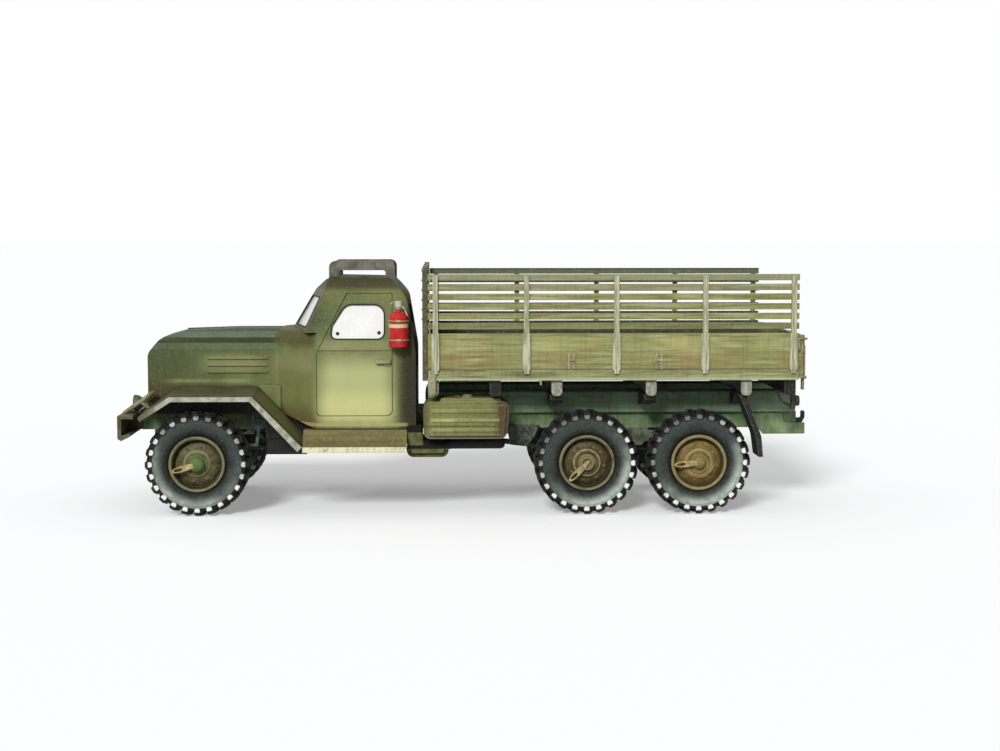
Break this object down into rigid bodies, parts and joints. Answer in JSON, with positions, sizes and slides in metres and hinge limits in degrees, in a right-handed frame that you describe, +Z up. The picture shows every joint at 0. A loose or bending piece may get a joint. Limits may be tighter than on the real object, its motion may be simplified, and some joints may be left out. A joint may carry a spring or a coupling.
{
  "type": "static scale model of a bonneted six-wheeled military cargo truck",
  "caption": "Static scale model of a bonneted military cargo truck with a slatted open bed, free-rolling wheels and steered front axle.",
  "frame": {"origin": "on the ground under the middle of the model's length and width, with the tyres standing on z = 0", "axes": "-X towards the bonnet, +X towards the tailgate, -Y the vehicle's left side, +Z up"},
  "size_m": [0.1912, 0.0662, 0.069],
  "materials": {
    "olive_body": "weathered matt olive paint",
    "frame_green": "dark green matt paint",
    "bed_boards": "yellowish olive paint with a dry-brushed wood grain",
    "wheel_brown": "brown-olive matt paint",
    "tyre": "matt black with pale dust",
    "extinguisher_red": "satin red paint",
    "lamp": "painted lamp",
    "dark_metal_paint": "dark matt paint",
    "seat": "matt brown paint",
    "black_plastic": "matt black paint"
  },
  "bodies": {
    "chassis": {"chassis_frame": "frame_green", "tow_hooks": "frame_green", "front_bumper": "olive_body", "lamp_guards": "olive_body", "headlamps": "lamp", "radiator_grille": "olive_body", "hood_top": "olive_body", "hood_sides": "olive_body", "engine_block": "dark_metal_paint", "cowl": "olive_body", "front_wings": "olive_body", "running_boards": "olive_body", "cab_roof": "olive_body", "cab_rear_wall": "olive_body", "doors": "olive_body", "windscreen_frame": "olive_body", "cab_floor": "olive_body", "seats": "seat", "steering_wheel": "black_plastic", "roof_rack": "olive_body", "fire_extinguisher": "extinguisher_red", "front_axle": "frame_green", "mid_axle": "frame_green", "rear_axle": "frame_green", "leaf_springs": "frame_green", "propeller_shafts": "frame_green", "transfer_case": "frame_green", "fuel_tanks": "olive_body", "silencer": "dark_metal_paint", "bed_subframe": "frame_green", "bed_floor": "bed_boards", "bed_sides": "bed_boards", "headboard": "bed_boards", "tailgate": "bed_boards", "mudflaps": "black_plastic"},
    "knuckle_left": {"steering_knuckle_left": "frame_green"},
    "knuckle_right": {"steering_knuckle_right": "frame_green"},
    "tie_rod": {"tie_rod": "frame_green"},
    "wheel_front_left": {"wheel_front_left": "wheel_brown", "tyre_front_left": "tyre"},
    "wheel_front_right": {"wheel_front_right": "wheel_brown", "tyre_front_right": "tyre"},
    "wheel_mid_left": {"wheel_mid_left": "wheel_brown", "tyre_mid_left": "tyre"},
    "wheel_mid_right": {"wheel_mid_right": "wheel_brown", "tyre_mid_right": "tyre"},
    "wheel_rear_left": {"wheel_rear_left": "wheel_brown", "tyre_rear_left": "tyre"},
    "wheel_rear_right": {"wheel_rear_right": "wheel_brown", "tyre_rear_right": "tyre"}
  },
  "joints": [
    {"name": "steer_left", "type": "hinge", "parent": "chassis", "child": "knuckle_left", "pos_m": [-0.07395, -0.019, 0.0143], "axis": [0, 0, 1], "range_deg": [-25, 25]},
    {"name": "steer_right", "type": "hinge", "parent": "chassis", "child": "knuckle_right", "pos_m": [-0.07395, 0.019, 0.0143], "axis": [0, 0, 1], "range_deg": [-26, 26]},
    {"name": "tie_rod_pivot", "type": "hinge", "parent": "knuckle_left", "child": "tie_rod", "pos_m": [-0.06645, -0.019, 0.00965], "axis": [0, 0, 1], "range_deg": [-26, 26]},
    {"name": "roll_front_left", "type": "hinge", "parent": "knuckle_left", "child": "wheel_front_left", "pos_m": [-0.07395, -0.02505, 0.0143], "axis": [0, -1, 0], "continuous": true},
    {"name": "roll_front_right", "type": "hinge", "parent": "knuckle_right", "child": "wheel_front_right", "pos_m": [-0.07395, 0.02505, 0.0143], "axis": [0, -1, 0], "continuous": true},
    {"name": "roll_mid_left", "type": "hinge", "parent": "chassis", "child": "wheel_mid_left", "pos_m": [0.03205, -0.02505, 0.0143], "axis": [0, -1, 0], "continuous": true},
    {"name": "roll_mid_right", "type": "hinge", "parent": "chassis", "child": "wheel_mid_right", "pos_m": [0.03205, 0.02505, 0.0143], "axis": [0, -1, 0], "continuous": true},
    {"name": "roll_rear_left", "type": "hinge", "parent": "chassis", "child": "wheel_rear_left", "pos_m": [0.06275, -0.02505, 0.0143], "axis": [0, -1, 0], "continuous": true},
    {"name": "roll_rear_right", "type": "hinge", "parent": "chassis", "child": "wheel_rear_right", "pos_m": [0.06275, 0.02505, 0.0143], "axis": [0, -1, 0], "continuous": true}
  ],
  "couplings": [
    {"joint": "steer_right", "follows": "steer_left", "ratio": 1},
    {"joint": "tie_rod_pivot", "follows": "steer_left", "ratio": -1}
  ]
}
